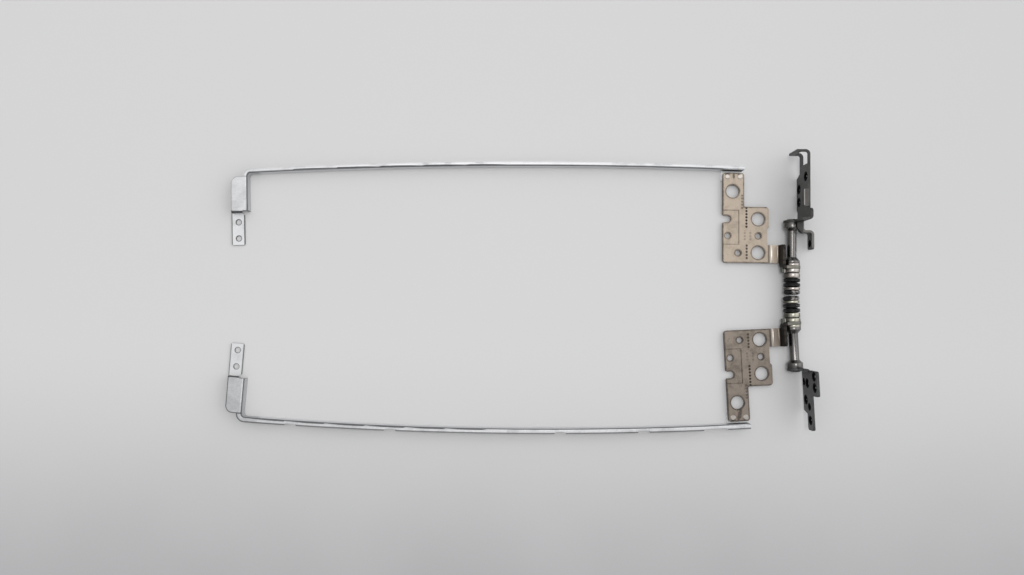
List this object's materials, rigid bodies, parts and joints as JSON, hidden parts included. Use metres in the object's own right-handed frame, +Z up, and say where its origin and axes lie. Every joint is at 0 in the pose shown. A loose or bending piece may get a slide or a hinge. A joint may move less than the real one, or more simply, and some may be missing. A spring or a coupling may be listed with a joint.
{
  "type": "laptop hinge pair",
  "caption": "Pair of laptop lid hinges: long display rails riveted to lid plates, friction pivots with stacked spring washers, and folded base brackets.",
  "frame": {"origin": "middle of the pair's outline, on the table it lies on", "axes": "+X from the far ends of the rails toward the pivots, +Y along the right pivot outward, +Z up"},
  "size_m": [0.2492, 0.1204, 0.0176],
  "materials": {
    "rail_zinc": "bright zinc plate",
    "right_plate_nickel": "satin nickel plate",
    "left_plate_nickel": "dull nickel plate, mottled",
    "rivet_steel": "bright steel",
    "shaft_steel": "dark polished steel",
    "right_washer_steel": "bright steel",
    "left_washer_steel": "yellowed steel",
    "friction_steel": "oiled dark steel",
    "spring_black": "black oxide",
    "nut_steel": "dark steel",
    "right_bracket_black": "black oxide",
    "left_bracket_black": "black oxide"
  },
  "bodies": {
    "lid_side": {"right_rail": "rail_zinc", "right_lid_plate": "right_plate_nickel", "right_rail_rivets": "rivet_steel", "right_tang_washer": "right_washer_steel", "left_rail": "rail_zinc", "left_lid_plate": "left_plate_nickel", "left_rail_rivets": "rivet_steel", "left_tang_washer": "left_washer_steel"},
    "right_base_side": {"right_shaft": "shaft_steel", "right_thrust_washer": "right_washer_steel", "right_friction_disc": "friction_steel", "right_cam_washer": "right_washer_steel", "right_disc_spring_1": "spring_black", "right_disc_spring_2": "spring_black", "right_disc_spring_3": "spring_black", "right_disc_spring_4": "spring_black", "right_pressure_washer": "right_washer_steel", "right_lock_nut": "nut_steel", "right_base_bracket": "right_bracket_black"},
    "left_base_side": {"left_shaft": "shaft_steel", "left_thrust_washer": "left_washer_steel", "left_friction_disc": "friction_steel", "left_cam_washer": "left_washer_steel", "left_disc_spring_1": "spring_black", "left_disc_spring_2": "spring_black", "left_disc_spring_3": "spring_black", "left_disc_spring_4": "spring_black", "left_pressure_washer": "left_washer_steel", "left_lock_nut": "nut_steel", "left_base_bracket": "left_bracket_black"}
  },
  "joints": [
    {"name": "right_pivot", "type": "hinge", "parent": "lid_side", "child": "right_base_side", "pos_m": [0.11577, 0.01581, 0.0036], "axis": [0, 1, 0], "range_deg": [-90, 45]},
    {"name": "left_pivot", "type": "hinge", "parent": "lid_side", "child": "left_base_side", "pos_m": [0.11631, -0.01676, 0.0036], "axis": [-0.0558, 0.9984, 0], "range_deg": [-90, 45]}
  ]
}
